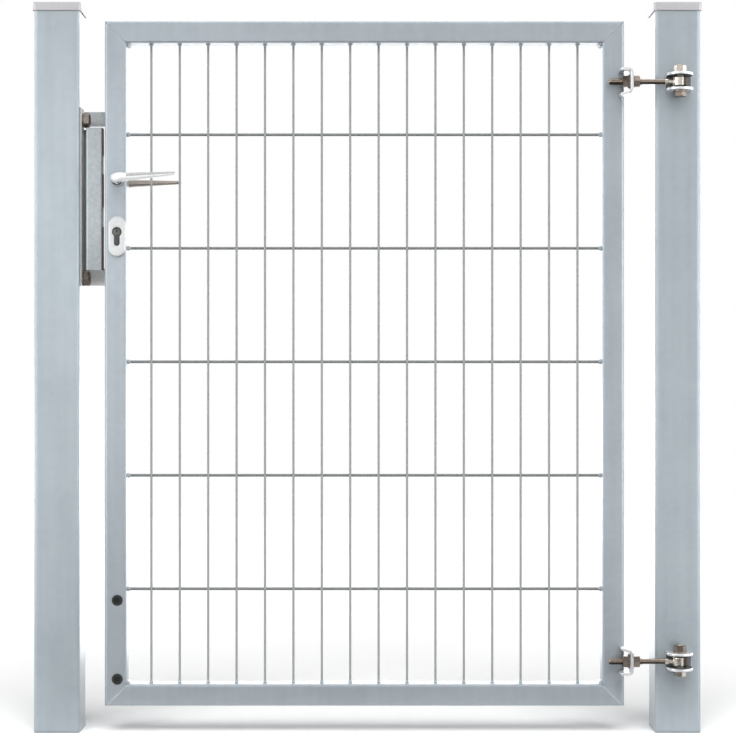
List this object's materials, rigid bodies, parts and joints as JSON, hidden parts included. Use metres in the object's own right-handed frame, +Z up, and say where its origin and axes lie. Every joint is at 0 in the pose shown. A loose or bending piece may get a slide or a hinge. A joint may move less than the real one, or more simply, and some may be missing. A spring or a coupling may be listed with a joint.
{
  "type": "swing gate",
  "caption": "Galvanised single-leaf swing gate with welded wire infill, eye-bolt hinges, lever handle and strike, hung between square posts.",
  "frame": {"origin": "middle of the hinge post's foot, at ground level", "axes": "+Z up, +X from the latch post to the hinge post, the leaf opens towards -Y"},
  "size_m": [1.175, 0.1319, 1.282],
  "materials": {
    "galvanised_post": "hot-dip galvanised, dull blue-grey spangle",
    "galvanised_frame": "hot-dip galvanised, dull blue-grey",
    "galvanised_wire": "galvanised wire",
    "post_cap": "plain satin aluminium",
    "zinc_plate": "bright zinc plated",
    "stainless_bolt": "plain stainless, warm reflections",
    "stainless_plate": "satin stainless",
    "satin_aluminium": "satin anodised",
    "dark_cylinder": "dark recessed key cylinder",
    "black_plug": "black moulded plastic"
  },
  "bodies": {
    "posts": {"hinge_post": "galvanised_post", "hinge_post_cap": "post_cap", "latch_post": "galvanised_post", "latch_post_cap": "post_cap", "stop_bracket": "zinc_plate", "strike_plate": "zinc_plate", "upper_strike_bolt": "stainless_bolt", "lower_strike_bolt": "stainless_bolt", "upper_hinge_bracket": "zinc_plate", "lower_hinge_bracket": "zinc_plate", "upper_hinge_pin": "stainless_bolt", "lower_hinge_pin": "stainless_bolt", "upper_pin_nut": "stainless_bolt", "lower_pin_nut": "stainless_bolt"},
    "leaf": {"latch_stile": "galvanised_frame", "hinge_stile": "galvanised_frame", "top_rail": "galvanised_frame", "bottom_rail": "galvanised_frame", "wire_infill": "galvanised_wire", "upper_lug": "zinc_plate", "lower_lug": "zinc_plate", "upper_eye_bolt": "stainless_bolt", "lower_eye_bolt": "stainless_bolt", "upper_inner_nut": "stainless_bolt", "upper_outer_nut": "stainless_bolt", "lower_inner_nut": "stainless_bolt", "lower_outer_nut": "stainless_bolt", "lock_faceplate": "stainless_plate", "latch_tongue": "stainless_plate", "dead_bolt": "stainless_plate", "key_cylinder": "dark_cylinder", "front_cover": "satin_aluminium", "back_cover": "satin_aluminium", "front_rose": "satin_aluminium", "back_rose": "satin_aluminium", "upper_plug": "black_plug", "lower_plug": "black_plug"},
    "handle": {"front_lever": "satin_aluminium", "back_lever": "satin_aluminium", "spindle": "stainless_plate"}
  },
  "joints": [
    {"name": "leaf_swing", "type": "hinge", "parent": "posts", "child": "leaf", "pos_m": [0, -0.062, 0], "axis": [0, 0, 1], "range_deg": [0, 180]},
    {"name": "handle_turn", "type": "hinge", "parent": "leaf", "child": "handle", "pos_m": [-0.983, -0.025, 0.97], "axis": [0, 1, 0], "range_deg": [0, 45], "stiffness_Nm_per_rad": 1.5, "springref_deg": -20.05}
  ]
}
